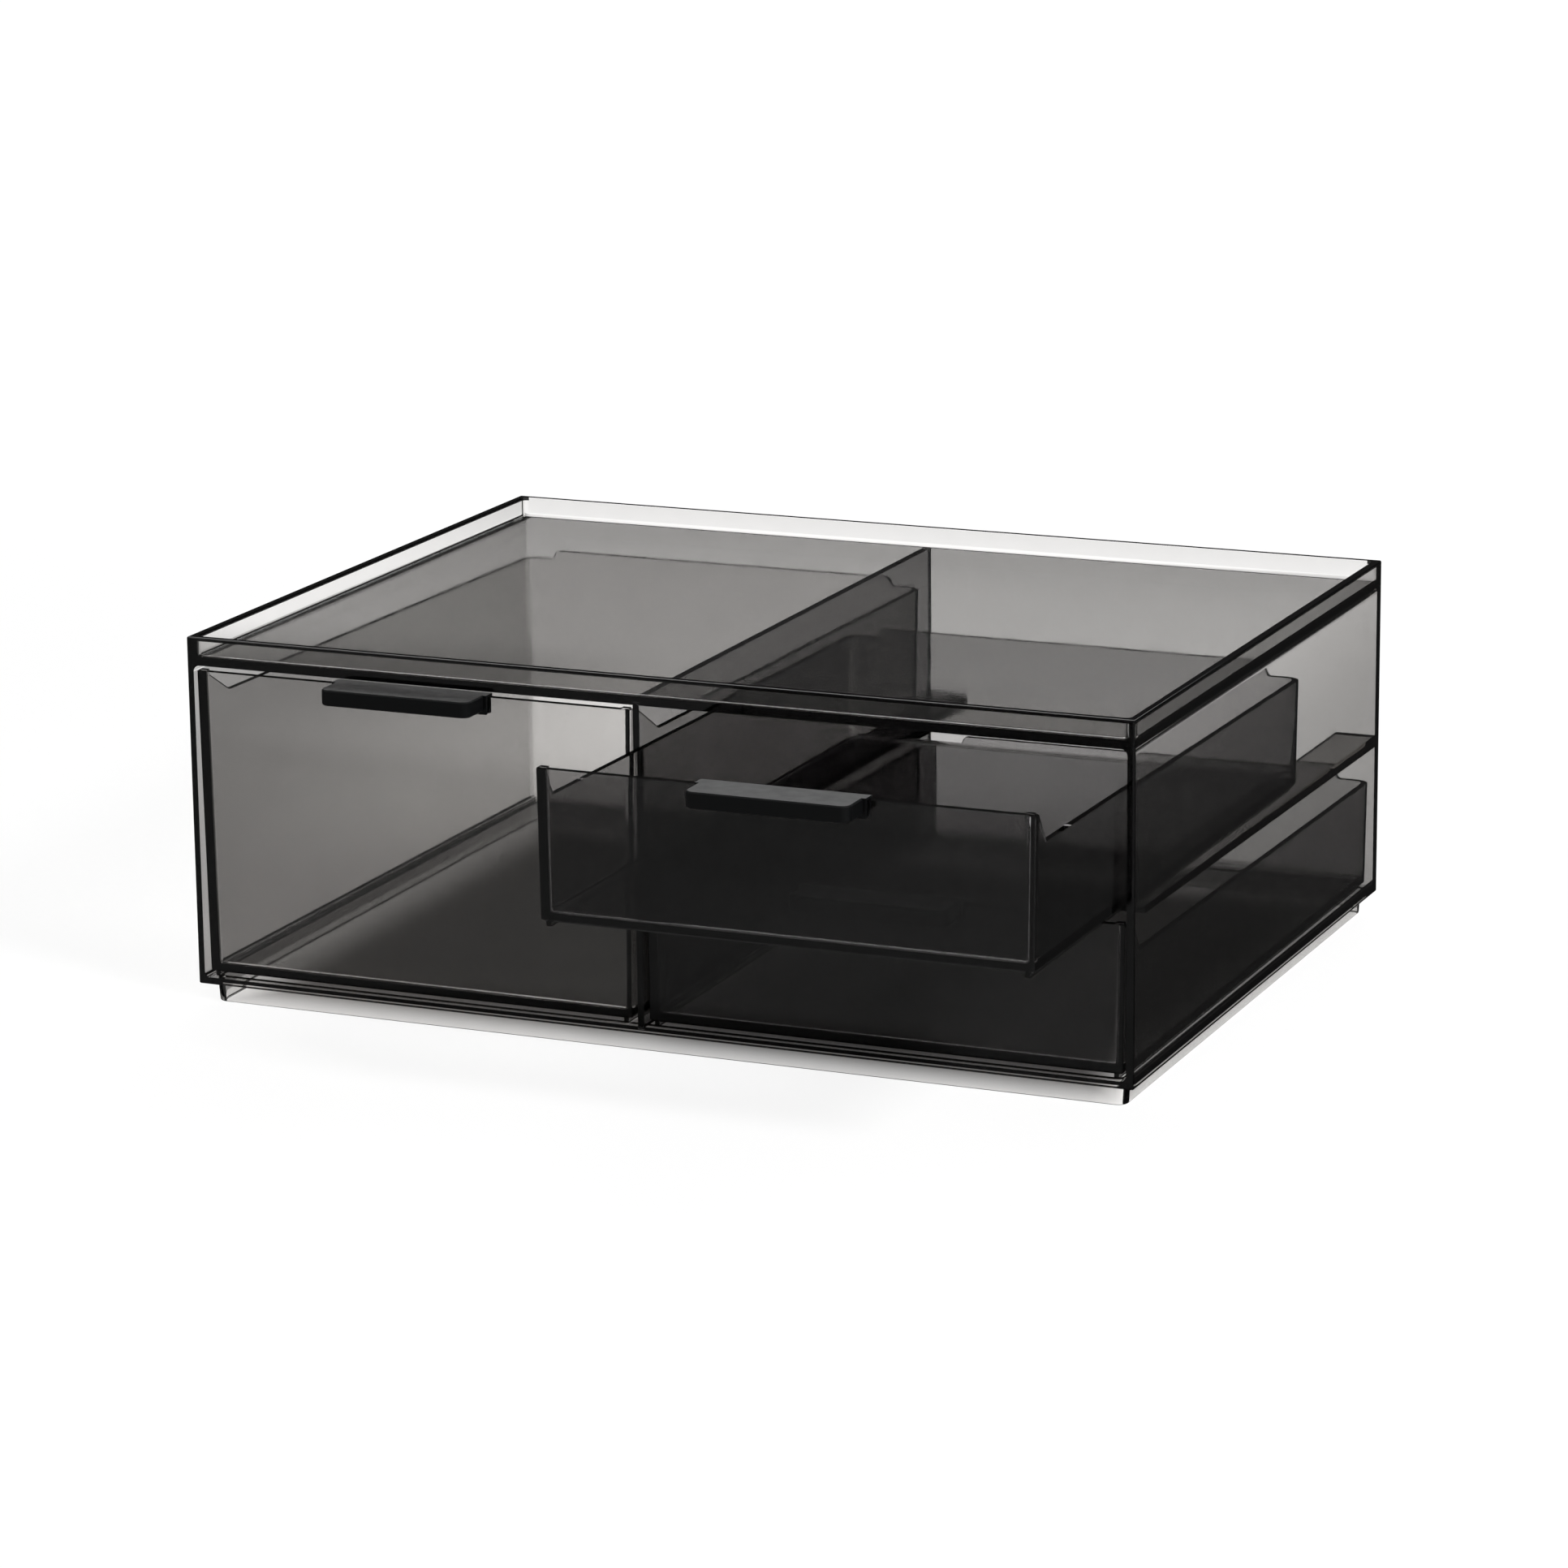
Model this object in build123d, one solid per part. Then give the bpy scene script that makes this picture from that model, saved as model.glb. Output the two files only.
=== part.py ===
from build123d import *
import os
from math import radians, tan

# Stackable desktop organiser: an open-fronted case moulded in smoke-tinted clear
# plastic, a divider, one full-height drawer on the left, two half-height drawers
# on the right, and a matte black pull hooked over each drawer front.
#
# Frame: millimetres, +Z up, the drawers face -Y and +X is to the right of someone
# looking at their fronts. The origin is the middle of the foot's bottom face.

# ---------------------------------------------------------------- case
case_width = 320.0          # outside, left to right
case_depth = 244.0          # outside, front to back
case_wall = 2.4             # left, right and back walls, and the rim above the deck
floor_thickness = 2.4
bay_height = 103.1          # clear height inside, floor to underside of the deck
bay_corner_radius = 2.0     # rounding where walls meet floor and deck
bay_taper = 0.8             # each side wall grows this much thicker towards the back
deck_thickness = 2.3        # the deck is the floor of the tray on top
rim_height = 6.8            # the rim stands this high round the tray
tray_corner_radius = 2.0
tray_floor_radius = 1.2     # rounding where the rim meets the deck
case_corner_radius = 0.8    # upright outside edges
case_edge_radius = 0.5      # outside edges of the rim and of the underside

# ---------------------------------------------------------------- foot under the case
foot_height = 6.6
foot_inset = 3.6            # set in so that the foot drops inside the rim of a unit below
foot_wall = 2.0
foot_corner_radius = 4.0
foot_draft = 4.0            # degrees, narrower towards the bottom
foot_edge_radius = 0.6

# ---------------------------------------------------------------- divider and rails
left_bay_width = 153.5      # the left bay is a little narrower than the right one
divider_thickness = 2.2
divider_setback = 0.4       # behind the case's front edge
groove_depth = 1.0          # in floor, deck and back wall
groove_clearance = 0.1      # on each face of the divider
rail_width = 13.9
rail_setback = 11.5         # behind the case's front edge
rail_front_thickness = 2.4
rail_back_thickness = 4.2   # the underside slopes down towards the back
rail_corner_radius = 2.0

# ---------------------------------------------------------------- drawers
runner_height = 1.6         # two ribs under each drawer that slide on floor or rails
runner_width = 1.6
runner_inset = 1.0          # from the edge of the drawer's underside
runner_setback = 0.8        # behind the drawer's front face
slide_clearance = 0.2       # under the runners
side_clearance = 0.7        # beside the drawer front, each side
top_clearance = 2.1         # above the drawer front
rail_clearance = 1.4        # from the lower drawer front up to the rail
back_clearance = 0.3        # from a closed drawer to the back wall
front_recess = 1.2          # a closed drawer front sits this far inside the case
front_thickness = 2.4
tray_wall = 2.0             # drawer sides and back
tray_floor = 2.0
drawer_draft = 0.7          # degrees, narrower towards the bottom
drawer_taper = 0.8          # each drawer side comes in this much towards the back
drawer_back_radius = 5.0    # upright corners at the back
drawer_front_radius = 0.8   # upright edges of the drawer front
drawer_bottom_bevel = 0.6   # outside, round the underside
drawer_inner_radius = 1.5   # inside, round the floor
side_drop = 9.6             # drawer sides start this far below the top of the front
side_slope_drop = 2.4       # and fall this much more towards the back
full_notch_run = 16.2       # length of the slanted shoulder behind a full-height front
half_notch_run = 6.5        # and behind a half-height front
crest_rise = 3.0            # the middle of the back wall stands above its corners
crest_side_run = 11.0       # from the drawer's side to the start of the rise
crest_shoulder = 1.2        # width of the rise
crest_radius = 1.5
corner_pad_width = 2.6      # small pads on the top corners of a drawer front
corner_pad_height = 0.5

# ---------------------------------------------------------------- pulls
pull_width = 52.0
pull_reach = 12.0           # in front of the drawer front
pull_height = 5.1
pull_corner_radius = 3.0
pull_edge_chamfer = 0.4
pull_skin = 1.6             # the bar is cored out from below
pull_cap = 0.7              # lies on the top edge of the drawer front
pull_plate = 1.0            # back plate, cap and hook are this thick front to back
pull_plate_margin = 1.0     # the back plate shows this far beside and below the bar
pull_hook_clearance = 0.1   # between the hook and the inside of the drawer front

# ---------------------------------------------------------------- photographed pose
upper_drawer_pull_out = 76.5
left_drawer_shift = -0.4    # the drawers lie a little off the middle of their bays
upper_drawer_shift = 0.3

# ---------------------------------------------------------------- places that follow
bay_floor = foot_height + floor_thickness
deck_bottom = bay_floor + bay_height
deck_top = deck_bottom + deck_thickness
rim_top = deck_top + rim_height
front_y = -case_depth / 2
back_y = case_depth / 2
inside_left = -case_width / 2 + case_wall
inside_right = case_width / 2 - case_wall
inside_back = back_y - case_wall
divider_left = inside_left + left_bay_width
divider_right = divider_left + divider_thickness
right_bay_width = inside_right - divider_right

runner_rise = slide_clearance + runner_height
rail_gap = rail_clearance + rail_front_thickness + runner_rise
full_front_height = bay_height - runner_rise - top_clearance
half_front_height = (full_front_height - rail_gap) / 2
rail_top = bay_floor + full_front_height - half_front_height
drawer_length = inside_back - back_clearance - (front_y + front_recess)

overlap = 1.0               # how far a cutting or joining body runs past a face


def slab(x_low, x_high, y_low, y_high, z_low, z_high):
    """A square-edged block between two opposite corners."""
    size = (x_high - x_low, y_high - y_low, z_high - z_low)
    middle = ((x_low + x_high) / 2, (y_low + y_high) / 2, (z_low + z_high) / 2)
    return Pos(*middle) * Box(*size)


def outline(points):
    """A closed flat outline from its corner points."""
    return make_face(Polyline(*points, close=True))


# ================================================================ case
def outer_block():
    """The outside of the case from its underside to the top of the rim."""
    block = slab(-case_width / 2, case_width / 2, front_y, back_y, foot_height, rim_top)
    block = fillet(block.edges().filter_by(Axis.Z), case_corner_radius)
    level_edges = block.edges().group_by(Axis.Z)
    return fillet(level_edges[0] + level_edges[-1], case_edge_radius)


def top_tray():
    """The hollow between the rims, rounded in plan and round its floor."""
    width = case_width - 2 * case_wall
    depth = case_depth - 2 * case_wall
    floor_outline = RectangleRounded(width, depth, tray_corner_radius)
    hollow = Pos(0, 0, deck_top) * extrude(floor_outline, rim_height + overlap)
    return fillet(hollow.edges().group_by(Axis.Z)[0], tray_floor_radius)


def bay_section(taper, y):
    """The bays' rounded opening at one depth, as an upright face."""
    width = inside_right - inside_left - 2 * taper
    section = RectangleRounded(width, bay_height, bay_corner_radius)
    return Plane.XZ.offset(-y) * (Pos(0, bay_floor + bay_height / 2) * section)


def drawer_bays():
    """One hollow for all drawers, open at the front and narrowing to the back."""
    front_taper = -bay_taper * overlap / case_depth
    return loft([bay_section(front_taper, front_y - overlap), bay_section(bay_taper, inside_back)])


def divider_groove():
    """Slot in floor, deck and back wall that the divider is pushed into."""
    return slab(
        divider_left - groove_clearance,
        divider_right + groove_clearance,
        front_y + divider_setback,
        inside_back + groove_depth,
        bay_floor - groove_depth,
        deck_bottom + groove_depth,
    )


def foot_skirt():
    """Thin upright wall under the case, drawn in towards its bottom edge."""
    width = case_width - 2 * foot_inset
    depth = case_depth - 2 * foot_inset
    reach = foot_height + overlap
    outside = RectangleRounded(width, depth, foot_corner_radius)
    inner_radius = foot_corner_radius - foot_wall
    inside = RectangleRounded(width - 2 * foot_wall, depth - 2 * foot_wall, inner_radius)
    shell = extrude(outside, -foot_height, taper=foot_draft)
    shell = fillet(shell.edges().group_by(Axis.Z)[0], foot_edge_radius)
    collar = extrude(outside, overlap)
    hollow = Pos(0, 0, overlap) * extrude(inside, -(reach + overlap), taper=foot_draft)
    return Pos(0, 0, foot_height) * (shell + collar - hollow)


def support_rail(wall_x, towards_bay, root, far):
    """Shelf rail from a wall into the bay, with a sloping underside."""
    near = front_y + rail_setback
    slope = (rail_back_thickness - rail_front_thickness) / (inside_back - near)
    far_thickness = rail_front_thickness + slope * (far - near)
    side_view = [
        (near, rail_top),
        (far, rail_top),
        (far, rail_top - far_thickness),
        (near, rail_top - rail_front_thickness),
    ]
    rail = extrude(Plane.YZ * outline(side_view), rail_width + root)
    if towards_bay < 0:
        rail = Pos(wall_x - rail_width, 0, 0) * rail
    else:
        rail = Pos(wall_x - root, 0, 0) * rail
    upright = rail.edges().filter_by(Axis.Z).group_by(Axis.Y)[0]
    nose = upright.sort_by(Axis.X)[-1 if towards_bay > 0 else 0]
    return fillet(nose, rail_corner_radius)


def case_shell():
    """The one-piece moulding: walls, floor, deck, rim, right rail and foot."""
    shell = outer_block() - top_tray() - drawer_bays()
    shell += foot_skirt()
    shell += support_rail(inside_right, -1, case_wall / 2, inside_back + case_wall / 2)
    return shell - divider_groove()


def centre_divider():
    """Partition between the bays, with the rail for the upper right drawer."""
    plate = slab(
        divider_left,
        divider_right,
        front_y + divider_setback,
        inside_back + groove_depth - groove_clearance,
        bay_floor - groove_depth + groove_clearance,
        deck_bottom + groove_depth - groove_clearance,
    )
    rail_end = inside_back - groove_clearance
    return plate + support_rail(divider_right, 1, divider_thickness / 2, rail_end)


# ================================================================ drawers
# A drawer is made with the middle of its front face's bottom edge at the origin.
def tray_outline(width, height, z, side, front, back):
    """Plan of the drawer at one height, moved in from its faces by three walls."""
    drawn_in = (height - z) * tan(radians(drawer_draft))
    rear = drawer_length - drawn_in - back
    front_half = width / 2 - drawn_in - side - drawer_taper * front / drawer_length
    rear_half = width / 2 - drawn_in - side - drawer_taper
    plan = outline([(-front_half, front), (front_half, front), (rear_half, rear), (-rear_half, rear)])
    rows = plan.vertices().group_by(Axis.Y)
    plan = fillet(rows[-1], drawer_back_radius - side)
    front_corners = plan.vertices().group_by(Axis.Y)[0]
    plan = fillet(front_corners, drawer_front_radius + side / 2)
    return Pos(0, 0, z) * plan


def tray_block(width, height):
    """The drawer's outside, narrower towards the bottom and the back."""
    bevel = drawer_bottom_bevel
    levels = [
        tray_outline(width, height, 0, bevel, bevel, bevel),
        tray_outline(width, height, bevel, 0, 0, 0),
        tray_outline(width, height, height, 0, 0, 0),
    ]
    return loft(levels, ruled=True)


def tray_hollow(width, height):
    """The space inside the drawer, rounded where its walls meet the floor."""
    levels = [
        tray_outline(width, height, z, tray_wall, front_thickness, tray_wall)
        for z in (tray_floor, height + overlap)
    ]
    hollow = loft(levels)
    return fillet(hollow.edges().group_by(Axis.Z)[0], drawer_inner_radius)


def back_crest(width, height):
    """The raised middle of the back wall, with a soft shoulder at each end."""
    low = height - side_drop - side_slope_drop
    half = width / 2 - drawer_taper - crest_side_run
    base = -2 * crest_radius
    points = [
        (-width / 2, base),
        (-width / 2, 0),
        (-half, 0),
        (-half + crest_shoulder, crest_rise),
        (half - crest_shoulder, crest_rise),
        (half, 0),
        (width / 2, 0),
        (width / 2, base),
    ]
    view = outline(points)
    shoulders = [v for v in view.vertices() if abs(v.X) < width / 2 - overlap]
    view = fillet(shoulders, crest_radius)
    start = Plane.XZ.offset(-(drawer_length + overlap))
    thickness = tray_wall + side_drop * tan(radians(drawer_draft)) + 2 * overlap
    return extrude(start * (Pos(0, low) * view), thickness)


def side_cut(width, height, notch_run):
    """What is cut away above the sides, with a slanted shoulder behind the front."""
    side_top = height - side_drop
    beyond = drawer_length + overlap
    side_view = [
        (front_thickness, height + 2 * overlap),
        (front_thickness, height),
        (front_thickness + notch_run, side_top),
        (beyond, side_top - side_slope_drop),
        (beyond, height + 2 * overlap),
    ]
    cut = extrude(Plane.YZ * outline(side_view), width / 2 + overlap, both=True)
    return cut - back_crest(width, height)


def runner_rib(width, height, side):
    """One of the two ribs that a drawer slides on, following the tapered side."""
    drawn_in = height * tan(radians(drawer_draft))
    foot_half = width / 2 - drawn_in - drawer_bottom_bevel - runner_inset
    rear = drawer_length - drawn_in - drawer_back_radius
    front = [side * foot_half, side * (foot_half - runner_width)]
    back = [side * (foot_half - drawer_taper), side * (foot_half - drawer_taper - runner_width)]
    corners = [
        (front[0], runner_setback),
        (front[1], runner_setback),
        (back[1], rear),
        (back[0], rear),
    ]
    return Pos(0, 0, -runner_height) * extrude(outline(corners), runner_height + tray_floor / 2)


def corner_pad(width, height, side):
    """Small pad on a top corner of the drawer front."""
    outer = side * (width / 2 - drawer_front_radius)
    inner = outer - side * corner_pad_width
    pad = slab(
        min(outer, inner),
        max(outer, inner),
        drawer_front_radius / 2,
        front_thickness,
        height - overlap,
        height + corner_pad_height,
    )
    return pad


def drawer_tray(width, height, notch_run):
    """A whole drawer moulding: front, sides, back, floor, runners and pads."""
    tray = tray_block(width, height) - tray_hollow(width, height)
    tray -= side_cut(width, height, notch_run)
    for side in (-1, 1):
        tray += runner_rib(width, height, side)
        tray += corner_pad(width, height, side)
    return tray


# ================================================================ pulls
# A pull is made with the middle of the drawer front's top outside edge at the origin.
def pull_plan(inset, back):
    """Plan of the bar, with its two front corners rounded."""
    half = pull_width / 2 - inset
    plan = outline([(-half, -pull_reach + inset), (half, -pull_reach + inset), (half, back), (-half, back)])
    return fillet(plan.vertices().group_by(Axis.Y)[0], pull_corner_radius - inset)


def drawer_pull():
    """Matte bar with a back plate and a hook over the top of the drawer front."""
    bottom = pull_cap - pull_height
    bar = Pos(0, 0, bottom) * extrude(pull_plan(0, 0), pull_height)
    level_edges = bar.edges().filter_by(Axis.Y, reverse=True).group_by(Axis.Z)
    outer_edges = [e for e in level_edges[0] + level_edges[-1] if e.center().Y < -pull_plate]
    bar = chamfer(outer_edges, pull_edge_chamfer)
    grip = extrude(pull_plan(pull_skin, -2 * pull_plate), pull_height - pull_skin + overlap)
    bar -= Pos(0, 0, bottom - overlap) * grip
    half = pull_width / 2 + pull_plate_margin
    plate_bottom = bottom - pull_plate_margin
    plate = slab(-half, half, -pull_plate, 0, plate_bottom, pull_cap)
    hook_face = front_thickness + pull_hook_clearance
    cap = slab(-half, half, 0, hook_face + pull_plate, 0, pull_cap)
    hook = slab(-half, half, hook_face, hook_face + pull_plate, plate_bottom, pull_cap)
    return bar + plate + cap + hook


# ================================================================ assembly
left_bay_middle = inside_left + left_bay_width / 2
right_bay_middle = divider_right + right_bay_width / 2
left_width = left_bay_width - 2 * side_clearance
right_width = right_bay_width - 2 * side_clearance
closed_y = front_y + front_recess

left_place = Pos(left_bay_middle + left_drawer_shift, closed_y, bay_floor + runner_rise)
upper_place = Pos(
    right_bay_middle + upper_drawer_shift, closed_y - upper_drawer_pull_out, rail_top + runner_rise
)
lower_place = Pos(right_bay_middle, closed_y, bay_floor + runner_rise)

drawers = {
    # name: (place of its front's bottom edge, width and height of its front, shoulder length)
    "left_drawer": (left_place, left_width, full_front_height, full_notch_run),
    "upper_right_drawer": (upper_place, right_width, half_front_height, half_notch_run),
    "lower_right_drawer": (lower_place, right_width, half_front_height, half_notch_run),
}

parts = {"case_shell": case_shell(), "centre_divider": centre_divider()}
for name, (place, width, height, notch_run) in drawers.items():
    parts[name] = place * drawer_tray(width, height, notch_run)
    parts[name + "_pull"] = place * Pos(0, 0, height) * drawer_pull()

os.makedirs("parts", exist_ok=True)
for name, solid in parts.items():
    solid.label = name
    export_step(solid, "parts/" + name + ".step")
    print(name, round(solid.volume / 1000, 1), "cm3", len(solid.solids()), "solid")
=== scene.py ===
# %% [markdown]
# # A smoke-tinted organiser with three drawers
# The organiser is a box moulded in clear plastic with a little black dye in it. Such an
# object is almost nothing but light that passes through walls, so most of this lesson is
# about one material and about what stands around it to be seen through it.
# The solids come from the CAD model and are already the right size and shape. Nothing is
# moved here: the lesson gives them their finishes, a table, some light and a camera.

# %% Load the solids
import math

import bpy
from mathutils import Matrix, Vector


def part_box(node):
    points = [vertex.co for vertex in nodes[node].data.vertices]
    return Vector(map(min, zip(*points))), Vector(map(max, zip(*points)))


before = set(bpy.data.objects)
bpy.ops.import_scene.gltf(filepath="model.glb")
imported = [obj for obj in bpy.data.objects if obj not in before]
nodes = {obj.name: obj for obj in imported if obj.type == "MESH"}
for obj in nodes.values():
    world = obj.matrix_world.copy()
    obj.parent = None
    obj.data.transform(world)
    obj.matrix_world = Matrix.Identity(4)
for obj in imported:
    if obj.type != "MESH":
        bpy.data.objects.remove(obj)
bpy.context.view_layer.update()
print("solids:", ", ".join(sorted(nodes)))

# %% [markdown]
# ## Helpers
# Colours are easiest to pick as the hex values of a screen, but a shader works with linear
# light, so one function turns the first into the second. Shader trees are long when every
# node takes four lines, so a second function adds one node with its settings and links.

# %% Colour and node helpers
MM = 0.001


def linear(hex_colour):
    """An sRGB hex colour as linear red, green, blue and full alpha."""
    channels = [int(hex_colour[i : i + 2], 16) / 255 for i in (1, 3, 5)]
    light = [c / 12.92 if c <= 0.04045 else ((c + 0.055) / 1.055) ** 2.4 for c in channels]
    return (*light, 1.0)


def add(tree, kind, settings=None, links=None):
    """Adds one node: settings fill its options and sockets, links feed its sockets."""
    node = tree.nodes.new(kind)
    for key, value in (settings or {}).items():
        if isinstance(key, str) and hasattr(node, key):
            setattr(node, key, value)
        else:
            node.inputs[key].default_value = value
    for key, source in (links or {}).items():
        tree.links.new(source, node.inputs[key])
    return node


def empty_material(name):
    """A new node material with nothing in its tree."""
    material = bpy.data.materials.new(name)
    material.use_nodes = True
    material.node_tree.nodes.clear()
    return material


print("mid grey is", round(linear("#808080")[0], 3), "in linear light")

# %% [markdown]
# ## Smoke-tinted clear acrylic
# The case, the divider and the drawers are injection moulded in acrylic, polished like the
# steel mould it was pressed against. Two things make the look. Its surface mirrors and
# bends light as glass does, a little less strongly, and the dye inside swallows light along
# the way. One wall is only a pale grey, several behind each other are nearly black, and an
# edge, where light runs along inside the wall, is black.
# A tinted base colour would darken each wall by the same amount, however long the way
# through it is, so the edges would stay pale. An absorbing volume counts the distance.
# The divider and the two right drawers look darker than the rest, so they get more dye.

# %% Numbers for the acrylic
ACRYLIC_IOR = 1.49
WALL_THICKNESS = 2.4 * MM
SURFACE_LOSS = 0.92         # what the two faces of a wall let through when it has no dye
DENSITY_MARGIN = 1.02       # keeps every channel of the dye's colour above zero
LIGHT_WALL = "#DCDBDA"      # white paper seen through a wall of the case or the left drawer
DEEP_WALL = "#AEADAD"       # and through one as thick of the divider or a right drawer


def dye_for(wall_looks):
    """Colour and density of the dye, from how white paper looks through one wall."""
    absorption = [-math.log(c / SURFACE_LOSS) / WALL_THICKNESS for c in linear(wall_looks)[:3]]
    # The volume absorbs (1 - colour) x density, so the strongest channel sets the density.
    density = max(absorption) * DENSITY_MARGIN
    return (*(1 - a / density for a in absorption), 1.0), density


light_smoke = dye_for(LIGHT_WALL)
deep_smoke = dye_for(DEEP_WALL)
print("dye density per metre:", round(light_smoke[1], 1), "and", round(deep_smoke[1], 1))

# %% [markdown]
# Moulded acrylic isn't perfectly flat. The melt runs out from the gate, the small place
# where it enters the mould, and cools in faint ripples about 40 mm long, only a few
# hundredths of a millimetre high. Handling leaves a haze that is finer and patchy. Both are
# too weak to draw as geometry, so they are bump and roughness from noise, measured in real
# millimetres. The ripples spread around each moulding's own gate.
# The upper edge of the rim shows as a black line, as light that enters there runs down
# inside the wall until the dye has taken it. The deck would let some of it out again here,
# so that shade is painted: the edge's colour is black and lets nothing in. The back edge
# has only the white sweep behind it and stays clear, without painted shade.

# %% The acrylic material
RIPPLE_LENGTH = 42 * MM
RIPPLE_HEIGHT = 0.06 * MM
RIPPLE_STRENGTH = 0.35
HAZE_LENGTH = 9 * MM
SCUFF_LENGTH = 1.6 * MM     # real hairlines are thinner: these are as coarse as shows
SCUFF_HEIGHT = 0.01 * MM
SCUFF_STRENGTH = 0.12
POLISHED = 0.012            # roughness as it comes from the mould
HANDLED = 0.045             # and where hands have dulled it
RIM_EDGE = 1.1 * MM         # how far down the rim's rounded upper edge reaches


def moulded_acrylic(name, gate, smoke, painted_shade_above, open_behind):
    """Clear acrylic with dye in it, gate flow ripples and painted black shade on the rim edge.
    """
    dye_colour, dye_density = smoke
    material = empty_material(name)
    tree = material.node_tree
    place = add(tree, "ShaderNodeTexCoord")
    from_gate = add(
        tree,
        "ShaderNodeVectorMath",
        {"operation": "SUBTRACT", 1: gate},
        {0: place.outputs["Object"]},
    )
    reach = add(
        tree, "ShaderNodeVectorMath", {"operation": "LENGTH"}, {0: from_gate.outputs["Vector"]}
    )
    drift = add(
        tree,
        "ShaderNodeTexNoise",
        {"Scale": 1 / RIPPLE_LENGTH, "Detail": 2.0, "Roughness": 0.4},
        {"Vector": from_gate.outputs["Vector"]},
    )
    rings = add(
        tree,
        "ShaderNodeMath",
        {"operation": "MULTIPLY_ADD", 1: 2 * math.pi / RIPPLE_LENGTH},
        {0: reach.outputs["Value"], 2: drift.outputs["Fac"]},
    )
    ripple = add(tree, "ShaderNodeMath", {"operation": "SINE"}, {0: rings.outputs["Value"]})
    haze = add(
        tree,
        "ShaderNodeTexNoise",
        {"Scale": 1 / HAZE_LENGTH, "Detail": 4.0, "Roughness": 0.6},
        {"Vector": from_gate.outputs["Vector"]},
    )
    scuff = add(
        tree,
        "ShaderNodeTexNoise",
        {"Scale": 1 / SCUFF_LENGTH, "Detail": 2.0},
        {"Vector": from_gate.outputs["Vector"]},
    )
    gloss = add(
        tree,
        "ShaderNodeMapRange",
        {"From Min": 0.35, "From Max": 0.75, "To Min": POLISHED, "To Max": HANDLED},
        {"Value": haze.outputs["Fac"]},
    )
    waves = add(
        tree,
        "ShaderNodeBump",
        {"Strength": RIPPLE_STRENGTH, "Distance": RIPPLE_HEIGHT},
        {"Height": ripple.outputs["Value"]},
    )
    surface = add(
        tree,
        "ShaderNodeBump",
        {"Strength": SCUFF_STRENGTH, "Distance": SCUFF_HEIGHT},
        {"Height": scuff.outputs["Fac"], "Normal": waves.outputs["Normal"]},
    )
    clear = add(
        tree,
        "ShaderNodeMix",
        {"data_type": "RGBA", 6: linear("#FFFFFF"), 7: linear("#F8F8F8")},
        {0: haze.outputs["Fac"]},
    )
    where = add(tree, "ShaderNodeSeparateXYZ", None, {0: place.outputs["Object"]})
    # Painted shade: above this height and ahead of the back wall the colour turns black
    above = add(
        tree,
        "ShaderNodeMath",
        {"operation": "GREATER_THAN", 1: painted_shade_above},
        {0: where.outputs["Z"]},
    )
    ahead = add(
        tree,
        "ShaderNodeMath",
        {"operation": "LESS_THAN", 1: open_behind},
        {0: where.outputs["Y"]},
    )
    painted_shade_edge = add(
        tree,
        "ShaderNodeMath",
        {"operation": "MULTIPLY"},
        {0: above.outputs["Value"], 1: ahead.outputs["Value"]},
    )
    painted_black_edge = add(
        tree,
        "ShaderNodeMix",
        {"data_type": "RGBA", 7: linear("#050505")},
        {0: painted_shade_edge.outputs["Value"], 6: clear.outputs[2]},
    )
    plastic = add(
        tree,
        "ShaderNodeBsdfPrincipled",
        {"IOR": ACRYLIC_IOR, "Transmission Weight": 1.0, "Metallic": 0.0},
        {
            "Base Color": painted_black_edge.outputs[2],
            "Roughness": gloss.outputs["Result"],
            "Normal": surface.outputs["Normal"],
        },
    )
    # The renderer sends no lamp light through a refracting wall, so for shadow rays the
    # wall is a plain clear sheet, and the dye inside still darkens what passes.
    lit = add(tree, "ShaderNodeBsdfTransparent", {"Color": linear("#F8F8F8")})
    path = add(tree, "ShaderNodeLightPath")
    both = add(
        tree,
        "ShaderNodeMixShader",
        None,
        {0: path.outputs["Is Shadow Ray"], 1: plastic.outputs["BSDF"], 2: lit.outputs["BSDF"]},
    )
    dye = add(
        tree, "ShaderNodeVolumeAbsorption", {"Color": dye_colour, "Density": dye_density}
    )
    add(
        tree,
        "ShaderNodeOutputMaterial",
        None,
        {"Surface": both.outputs["Shader"], "Volume": dye.outputs["Volume"]},
    )
    return material


surface_lengths = (RIPPLE_LENGTH, HAZE_LENGTH, SCUFF_LENGTH)
print("ripples, haze and scuffs, mm:", [round(length / MM, 1) for length in surface_lengths])

# %% [markdown]
# ## Matte black ABS
# The pulls are small ABS mouldings dyed black right through. Their mould was spark eroded,
# which leaves a fine even grain, so the plastic looks matte: a broad soft sheen instead of
# a mirror image. The pits of the grain swallow over half of the sheen that a smooth face
# would have. The grain of such a finish is about 0.1 mm, too fine for this picture, so it
# is drawn at 0.35 mm. Fingers polish the front a little, which shows as patches that are
# slightly smoother.

# %% The pulls' material
GRAIN_SIZE = 0.35 * MM
GRAIN_DEPTH = 0.03 * MM
GRAIN_STRENGTH = 0.25
WEAR_SIZE = 6 * MM
ABS_IOR = 1.52
GRAIN_SHEEN = 0.22          # 0.5 would be a smooth face
TOUCHED = 0.38              # roughness of the polished patches
GRAINY = 0.48               # and of the grain as moulded


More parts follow.
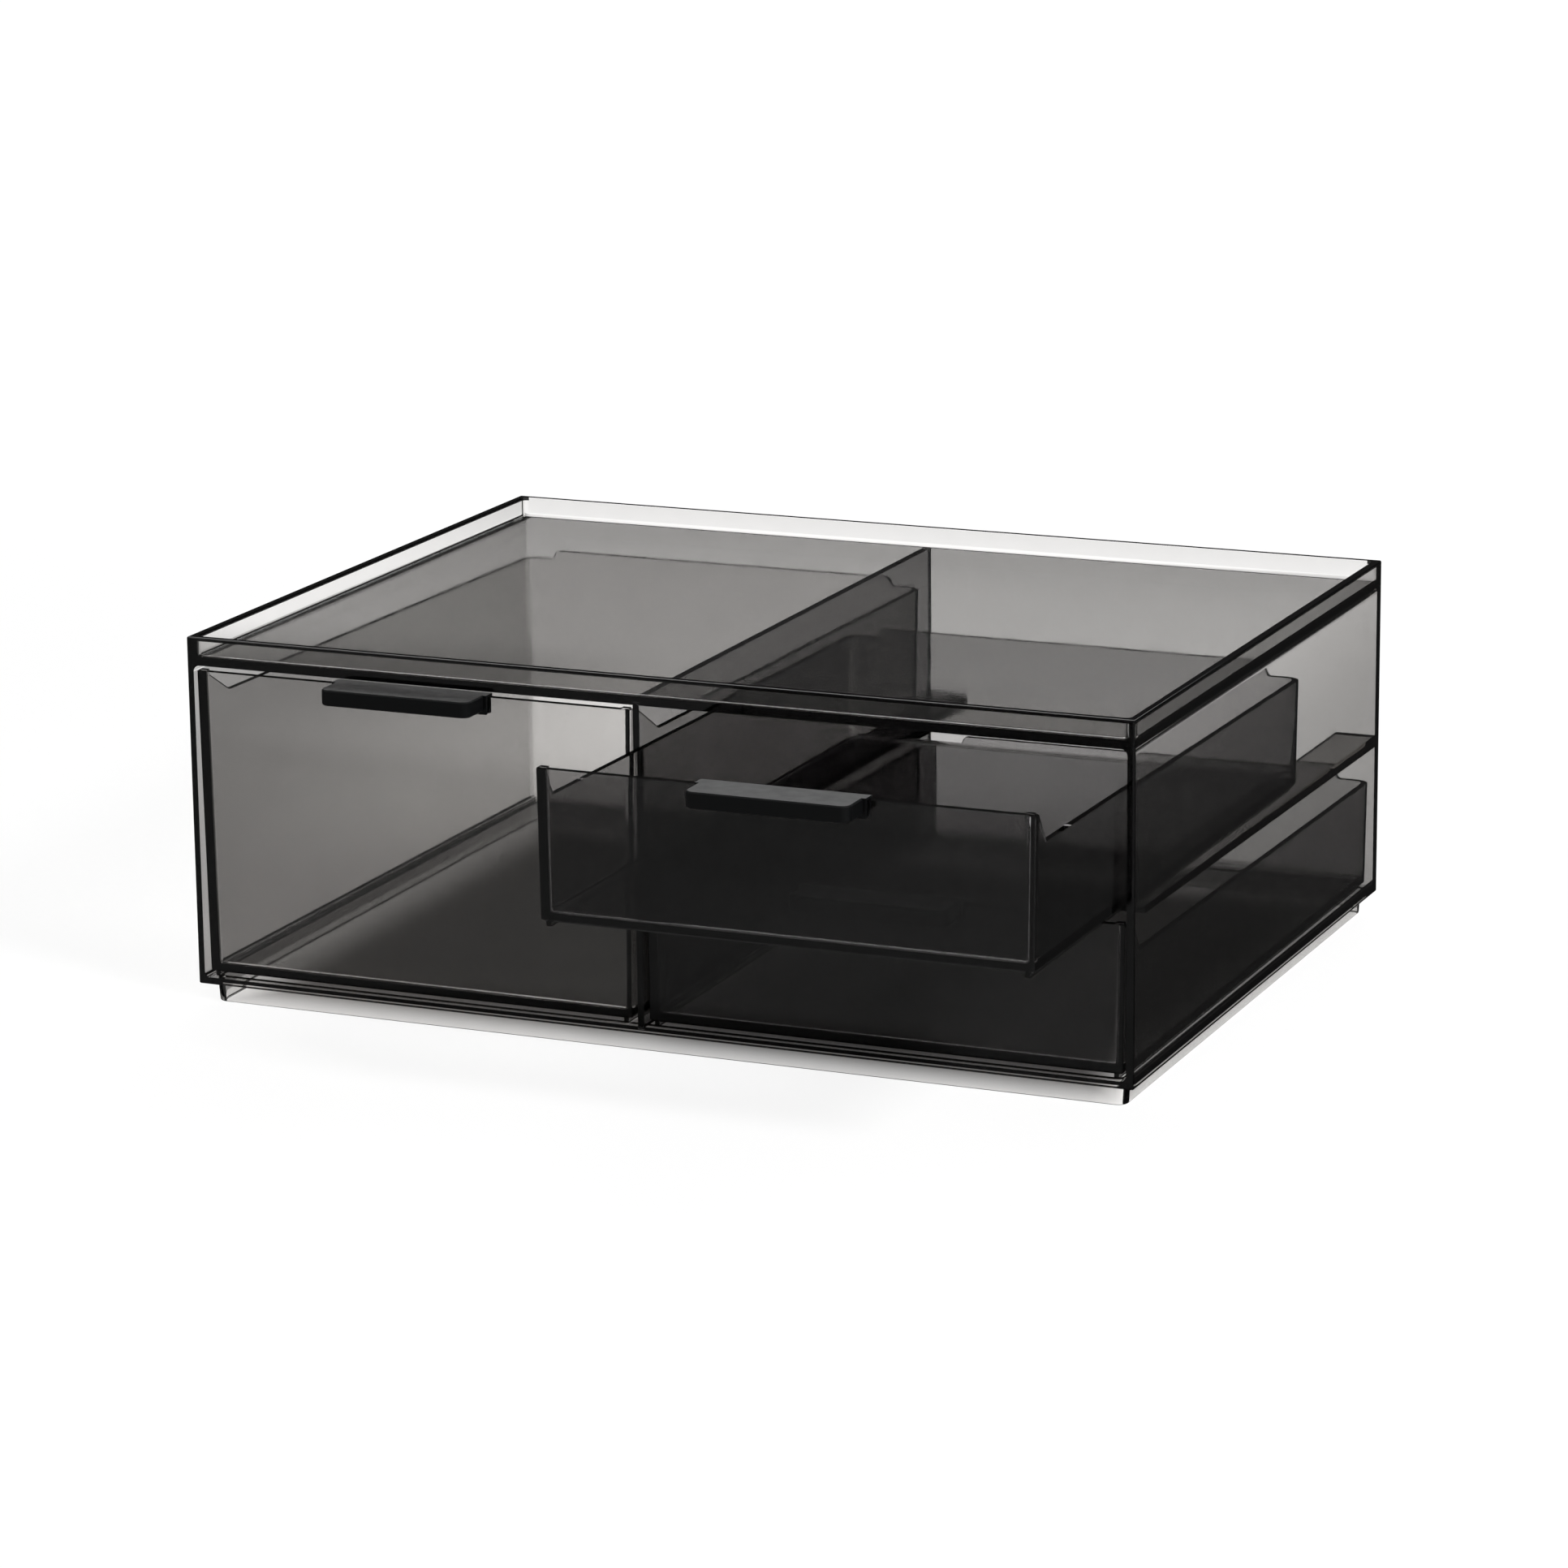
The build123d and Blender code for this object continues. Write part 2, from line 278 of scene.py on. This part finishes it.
def eroded_black_abs(name):
    """Black ABS with the fine grain of a spark-eroded mould."""
    material = empty_material(name)
    tree = material.node_tree
    place = add(tree, "ShaderNodeTexCoord")
    grain = add(
        tree,
        "ShaderNodeTexNoise",
        {"Scale": 1 / GRAIN_SIZE, "Detail": 3.0, "Roughness": 0.6},
        {"Vector": place.outputs["Object"]},
    )
    wear = add(
        tree,
        "ShaderNodeTexNoise",
        {"Scale": 1 / WEAR_SIZE, "Detail": 3.0},
        {"Vector": place.outputs["Object"]},
    )
    shade = add(
        tree,
        "ShaderNodeMix",
        {"data_type": "RGBA", 6: linear("#050607"), 7: linear("#0B0C0D")},
        {0: grain.outputs["Fac"]},
    )
    gloss = add(
        tree,
        "ShaderNodeMapRange",
        {"From Min": 0.3, "From Max": 0.7, "To Min": TOUCHED, "To Max": GRAINY},
        {"Value": wear.outputs["Fac"]},
    )
    bump = add(
        tree,
        "ShaderNodeBump",
        {"Strength": GRAIN_STRENGTH, "Distance": GRAIN_DEPTH},
        {"Height": grain.outputs["Fac"]},
    )
    plastic = add(
        tree,
        "ShaderNodeBsdfPrincipled",
        {"IOR": ABS_IOR, "Metallic": 0.0, "Specular IOR Level": GRAIN_SHEEN},
        {
            "Base Color": shade.outputs[2],
            "Roughness": gloss.outputs["Result"],
            "Normal": bump.outputs["Normal"],
        },
    )
    add(tree, "ShaderNodeOutputMaterial", None, {"Surface": plastic.outputs["BSDF"]})
    return material


print("grain", round(GRAIN_SIZE / MM, 2), "mm")

# %% [markdown]
# ## Dress the solids
# Each moulding has its own gate, in the middle of its underside, so each gets its own copy
# of the acrylic. Only the case has a rim, whose upper edge gets painted black shade: for the
# others the height above which it is painted lies over their top. The pulls are alike and
# share one material.

# %% Assign the finishes
LIGHT_MOULDINGS = ("case_shell", "left_drawer")


def paint(node_name, material):
    """Gives a solid one material in all its slots."""
    materials = nodes[node_name].data.materials
    for slot in range(len(materials)):
        materials[slot] = material
    if len(materials) == 0:
        materials.append(material)


black_abs = eroded_black_abs("eroded_black_abs")
for node_name in sorted(nodes):
    if node_name.endswith("_pull"):
        paint(node_name, black_abs)
    else:
        low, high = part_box(node_name)
        gate = ((low[0] + high[0]) / 2, (low[1] + high[1]) / 2, low[2])
        smoke = light_smoke if node_name in LIGHT_MOULDINGS else deep_smoke
        painted_shade_above = high[2] - RIM_EDGE if node_name == "case_shell" else high[2] + RIM_EDGE
        open_behind = high[1] - WALL_THICKNESS
        acrylic = moulded_acrylic(
            "smoke_acrylic_" + node_name, gate, smoke, painted_shade_above, open_behind
        )
        paint(node_name, acrylic)
    print(node_name, "is", nodes[node_name].data.materials[0].name)

# %% [markdown]
# ## The room
# A clear object shows whatever is around it, so its surroundings matter more than its own
# colour. The backdrop behind this one is white, also where it is seen through the walls, but
# the walls mirror hardly anything, as when a polarising filter is turned until the glare
# goes. So the world asks each ray how it got there. One that is seen straight, or only
# through plastic, finds white. One that was mirrored on the way finds a dim room with a
# softly lit ceiling. One that carries light to a matte surface finds a moderate level, so
# that all that white doesn't burn out the object.

# %% How a ray got there
ONCE = 0.5                  # a depth above this has happened at least once


def ray_history(tree):
    """(1 for a ray seen straight or only through plastic, 1 for a mirrored one)."""
    path = add(tree, "ShaderNodeLightPath")
    clean = add(
        tree,
        "ShaderNodeMath",
        {"operation": "LESS_THAN", 1: ONCE},
        {0: path.outputs["Diffuse Depth"]},
    )
    turned = add(
        tree,
        "ShaderNodeMath",
        {"operation": "GREATER_THAN", 1: ONCE},
        {0: path.outputs["Glossy Depth"]},
    )
    mirrored = add(
        tree,
        "ShaderNodeMath",
        {"operation": "MULTIPLY"},
        {0: clean.outputs["Value"], 1: turned.outputs["Value"]},
    )
    eye = add(
        tree,
        "ShaderNodeMath",
        {"operation": "MAXIMUM"},
        {0: path.outputs["Is Camera Ray"], 1: path.outputs["Is Transmission Ray"]},
    )
    straight = add(
        tree,
        "ShaderNodeMath",
        {"operation": "MULTIPLY"},
        {0: eye.outputs["Value"], 1: clean.outputs["Value"]},
    )
    seen = add(
        tree,
        "ShaderNodeMath",
        {"operation": "SUBTRACT", "use_clamp": True},
        {0: straight.outputs["Value"], 1: mirrored.outputs["Value"]},
    )
    return seen.outputs["Value"], mirrored.outputs["Value"]


print("a ray counts as mirrored above a depth of", ONCE)

# %% World
ROOM_LIGHT = 0.20           # what the surroundings give to matte surfaces
HORIZON_LIGHT = 0.03        # what the plastic mirrors from the dim room round the table
ZENITH_LIGHT = 0.40         # and from the ceiling of soft cloth above it
HORIZON_TOP = 0.25          # height on a sphere of 1 where the dim part ends
CEILING_START = 0.9         # and where the ceiling is at its full level

world = bpy.data.worlds.new("white_studio")
bpy.context.scene.world = world
world.use_nodes = True
tree = world.node_tree
tree.nodes.clear()
seen, mirrored = ray_history(tree)
direction = add(tree, "ShaderNodeTexCoord")
towards = add(tree, "ShaderNodeSeparateXYZ", None, {0: direction.outputs["Generated"]})
dome = add(
    tree,
    "ShaderNodeMapRange",
    {"interpolation_type": "SMOOTHSTEP", "From Min": HORIZON_TOP, "From Max": CEILING_START,
     "To Min": HORIZON_LIGHT, "To Max": ZENITH_LIGHT},
    {"Value": towards.outputs["Z"]},
)
room = add(tree, "ShaderNodeMix", {2: ROOM_LIGHT}, {0: mirrored, 3: dome.outputs["Result"]})
level = add(tree, "ShaderNodeMath", {"operation": "MAXIMUM"}, {0: room.outputs[0], 1: seen})
sky = add(
    tree,
    "ShaderNodeBackground",
    {"Color": linear("#FFFFFF")},
    {"Strength": level.outputs["Value"]},
)
add(tree, "ShaderNodeOutputWorld", None, {"Surface": sky.outputs["Background"]})
print("room light", ROOM_LIGHT, "mirrored", HORIZON_LIGHT, "to", ZENITH_LIGHT)

# %% [markdown]
# ## The table
# The table and the backdrop are one white sweep. Part of its white is paint, which takes
# the lamps' light and the shadow of the box. The rest is a glow that only the eye sees,
# which makes it white without sending more light to the object. Through the plastic more of
# it is paint, because the shadow shows there, and mirrored in the plastic it is nearly dark.

# %% The sweep and its paint
FLOOR_SIZE = 12.0           # m
DIRECT_PAINT = 0.15         # the share of paint where the table is seen straight
THROUGH_PAINT = 0.55        # where it is seen through the plastic
MIRRORED_PAINT = 0.03       # where the plastic mirrors it
FRONT_PAINT = 0.22          # and where it mirrors the part in front of the box

bpy.ops.mesh.primitive_plane_add(size=FLOOR_SIZE, location=(0, 0, 0))
floor = bpy.context.object
floor.name = "floor"
floor_white = empty_material("studio_floor")
tree = floor_white.node_tree
seen, mirrored = ray_history(tree)
path = add(tree, "ShaderNodeLightPath")
direct = path.outputs["Is Camera Ray"]
place = add(tree, "ShaderNodeTexCoord")
ground = add(tree, "ShaderNodeSeparateXYZ", None, {0: place.outputs["Object"]})
case_low, case_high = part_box("case_shell")
is_front = add(
    tree,
    "ShaderNodeMath",
    {"operation": "LESS_THAN", 1: case_low[1]},
    {0: ground.outputs["Y"]},
)
mirrored_paint = add(
    tree,
    "ShaderNodeMix",
    {2: MIRRORED_PAINT, 3: FRONT_PAINT},
    {0: is_front.outputs["Value"]},
)
through_paint = add(
    tree,
    "ShaderNodeMix",
    {2: THROUGH_PAINT},
    {0: mirrored, 3: mirrored_paint.outputs[0]},
)
paint_level = add(
    tree, "ShaderNodeMix", {3: DIRECT_PAINT}, {0: direct, 2: through_paint.outputs[0]}
)
paint_part = add(tree, "ShaderNodeBsdfDiffuse", None, {"Color": paint_level.outputs[0]})
print("floor", FLOOR_SIZE, "m wide, paint", DIRECT_PAINT, "to", THROUGH_PAINT)

# %% [markdown]
# Below the box the foot keeps the light out, but for a strip where it creeps in under the
# edge. Both are painted in the glow, by the distance from the outline of the case: painted
# shade in the middle and a painted strip of light under the edge.

# %% The painted glow and shade under the box
# painted shade under the middle of the box and painted light in the strip under its edge
UNDER_GLOW = 0.05           # in the middle, where hardly any light gets in
EDGE_GLOW = 0.85            # in the strip under the edge
CREEP = 30 * MM             # how far light creeps in

case_middle = [(a + b) / 2 for a, b in zip(case_low, case_high)]
half_width, half_depth = [(b - a) / 2 for a, b in zip(case_low, case_high)][:2]
beside = add(
    tree,
    "ShaderNodeVectorMath",
    {"operation": "SUBTRACT", 1: (case_middle[0], case_middle[1], 0)},
    {0: place.outputs["Object"]},
)
unsigned = add(
    tree, "ShaderNodeVectorMath", {"operation": "ABSOLUTE"}, {0: beside.outputs["Vector"]}
)
past_edge = add(
    tree,
    "ShaderNodeVectorMath",
    {"operation": "SUBTRACT", 1: (half_width, half_depth, 0)},
    {0: unsigned.outputs["Vector"]},
)
sides = add(tree, "ShaderNodeSeparateXYZ", None, {0: past_edge.outputs["Vector"]})
outside = add(
    tree,
    "ShaderNodeMath",
    {"operation": "MAXIMUM"},
    {0: sides.outputs["X"], 1: sides.outputs["Y"]},
)
painted_creep_light = add(
    tree,
    "ShaderNodeMapRange",
    {"interpolation_type": "SMOOTHSTEP", "From Min": -CREEP, "From Max": 0.0,
     "To Min": UNDER_GLOW, "To Max": EDGE_GLOW},
    {"Value": outside.outputs["Value"]},
)
is_outside = add(
    tree,
    "ShaderNodeMath",
    {"operation": "GREATER_THAN", 1: 0.0},
    {0: outside.outputs["Value"]},
)
print("light creeps in for", round(CREEP / MM), "mm")

# %% [markdown]
# Seen through the plastic the open table isn't even either. Its glow paints a pool of light
# behind the box and the box's shadow on the left, as painted light and painted shadow. The
# pool is a product of soft ramps, each along one axis.

# %% The painted pool of light and shadow
# painted light and shadow in the glow: a pool behind the box, the box's shadow on the left
RAMPS = {
    # name: (axis, m where it starts and ends, level before and after)
    "back_light": ("Y", -0.02, 0.30, 0.15, 1.0),
    "left_shade": ("X", -0.36, -0.18, 0.2, 1.0),
    "right_fall": ("X", -0.02, 0.08, 1.0, 0.55),
    "past_shade": ("Y", 0.27, 0.40, 0.0, 1.0),
    "far_fall": ("Y", 0.50, 0.75, 1.0, 0.55),
}

ramps = {}
for name, (axis, start, end, before, after) in RAMPS.items():
    ramp = add(
        tree,
        "ShaderNodeMapRange",
        {"interpolation_type": "SMOOTHSTEP", "From Min": start, "From Max": end,
         "To Min": before, "To Max": after},
        {"Value": ground.outputs[axis]},
    )
    ramps[name] = ramp.outputs["Result"]
shade = add(
    tree,
    "ShaderNodeMath",
    {"operation": "MAXIMUM"},
    {0: ramps["left_shade"], 1: ramps["past_shade"]},
)
fall = add(
    tree,
    "ShaderNodeMath",
    {"operation": "MINIMUM"},
    {0: ramps["right_fall"], 1: ramps["far_fall"]},
)
across = add(
    tree,
    "ShaderNodeMath",
    {"operation": "MULTIPLY"},
    {0: shade.outputs["Value"], 1: fall.outputs["Value"]},
)
painted_pool_of_light = add(
    tree,
    "ShaderNodeMath",
    {"operation": "MULTIPLY"},
    {0: ramps["back_light"], 1: across.outputs["Value"]},
)
through_glow = add(
    tree,
    "ShaderNodeMix",
    None,
    {0: is_outside.outputs["Value"], 2: painted_creep_light.outputs["Result"], 3: painted_pool_of_light.outputs["Value"]},
)
print("the pool is a product of", len(ramps), "ramps")

# %% [markdown]
# Seen straight, the table glows a little less than white near the box, where the lamps add
# the rest, and is fully white by itself where they no longer reach it.

# %% The glow seen straight, and the finished floor
DIRECT_GLOW = 0.87
LAMPS_START = 0.5           # m from the middle, where the lamps start to weaken
LAMPS_END = 2.5             # and where they no longer reach the table

distance = add(
    tree, "ShaderNodeVectorMath", {"operation": "LENGTH"}, {0: place.outputs["Object"]}
)
direct_glow = add(
    tree,
    "ShaderNodeMapRange",
    {"interpolation_type": "SMOOTHSTEP", "From Min": LAMPS_START, "From Max": LAMPS_END,
     "To Min": DIRECT_GLOW, "To Max": 1.0},
    {"Value": distance.outputs["Value"]},
)
glow_here = add(
    tree,
    "ShaderNodeMix",
    None,
    {0: direct, 2: through_glow.outputs[0], 3: direct_glow.outputs["Result"]},
)
glow_level = add(
    tree, "ShaderNodeMath", {"operation": "MULTIPLY"}, {0: glow_here.outputs[0], 1: seen}
)
glow_part = add(
    tree,
    "ShaderNodeEmission",
    {"Color": linear("#FFFFFF")},
    {"Strength": glow_level.outputs["Value"]},
)
floor_sum = add(
    tree,
    "ShaderNodeAddShader",
    None,
    {0: paint_part.outputs["BSDF"], 1: glow_part.outputs["Emission"]},
)
add(tree, "ShaderNodeOutputMaterial", None, {"Surface": floor_sum.outputs["Shader"]})
floor.data.materials.append(floor_white)
print("the floor's material has", len(tree.nodes), "nodes")

# %% [markdown]
# ## Lamps
# Three soft panels. The edge of the shadow on the table, seen through the left bay, tells
# that the main light comes from the right and a little from the front, about 36 degrees
# up, and that it isn't large, because the edge is fairly sharp. A wide second panel stands
# behind, low enough to lay a soft sheen on the tops of the pulls, and a weak one on the
# left fills in. With the room they bring white paper on the table to just about white.

# %% Soft panels
OBJECT_MIDDLE = Vector((0.0, 0.0, 0.06))
PANELS = {
    # name: (location in m, width in m, watts)
    "main_panel": ((1.62, -0.75, 1.37), 0.4, 43),
    "back_panel": ((-0.55, 1.28, 1.30), 1.2, 12),
    "left_panel": ((-1.5, -1.3, 1.2), 1.0, 6),
}

for name, (location, width, watts) in PANELS.items():
    lamp = bpy.data.lights.new(name, "AREA")
    lamp.shape = "SQUARE"
    lamp.size = width
    lamp.energy = watts
    holder = bpy.data.objects.new(name, lamp)
    holder.location = location
    facing = OBJECT_MIDDLE - Vector(location)
    holder.rotation_euler = facing.to_track_quat("-Z", "Y").to_euler()
    bpy.context.scene.collection.objects.link(holder)
    print(name, round(facing.length, 2), "m away")

# %% [markdown]
# ## Camera
# The place and the focal length were worked out from the corners of the case in the
# picture. It is a long lens from 1.9 m away that looks about 14 degrees down, so the box
# keeps nearly parallel edges.

# %% Camera
SENSOR_WIDTH = 36.0         # mm
FOCAL_LENGTH = 128.446      # mm
CAMERA_PLACE = (0.70287, -1.63997, 0.51163)     # m
CAMERA_TURN = (75.7489, 0.5989, 23.2289)        # degrees
MAX_BOUNCES = 32            # a ray crosses up to ten walls, each with two faces

camera_data = bpy.data.cameras.new("camera")
camera_data.sensor_width = SENSOR_WIDTH
camera_data.lens = FOCAL_LENGTH
camera = bpy.data.objects.new("camera", camera_data)
camera.location = CAMERA_PLACE
camera.rotation_euler = tuple(math.radians(a) for a in CAMERA_TURN)
bpy.context.scene.collection.objects.link(camera)
bpy.context.scene.camera = camera

scene = bpy.context.scene
scene.view_settings.view_transform = "Standard"
scene.cycles.max_bounces = MAX_BOUNCES
scene.cycles.transmission_bounces = MAX_BOUNCES
scene.cycles.transparent_max_bounces = MAX_BOUNCES
print("camera", round(camera.location.length, 2), "m from the middle of the foot")
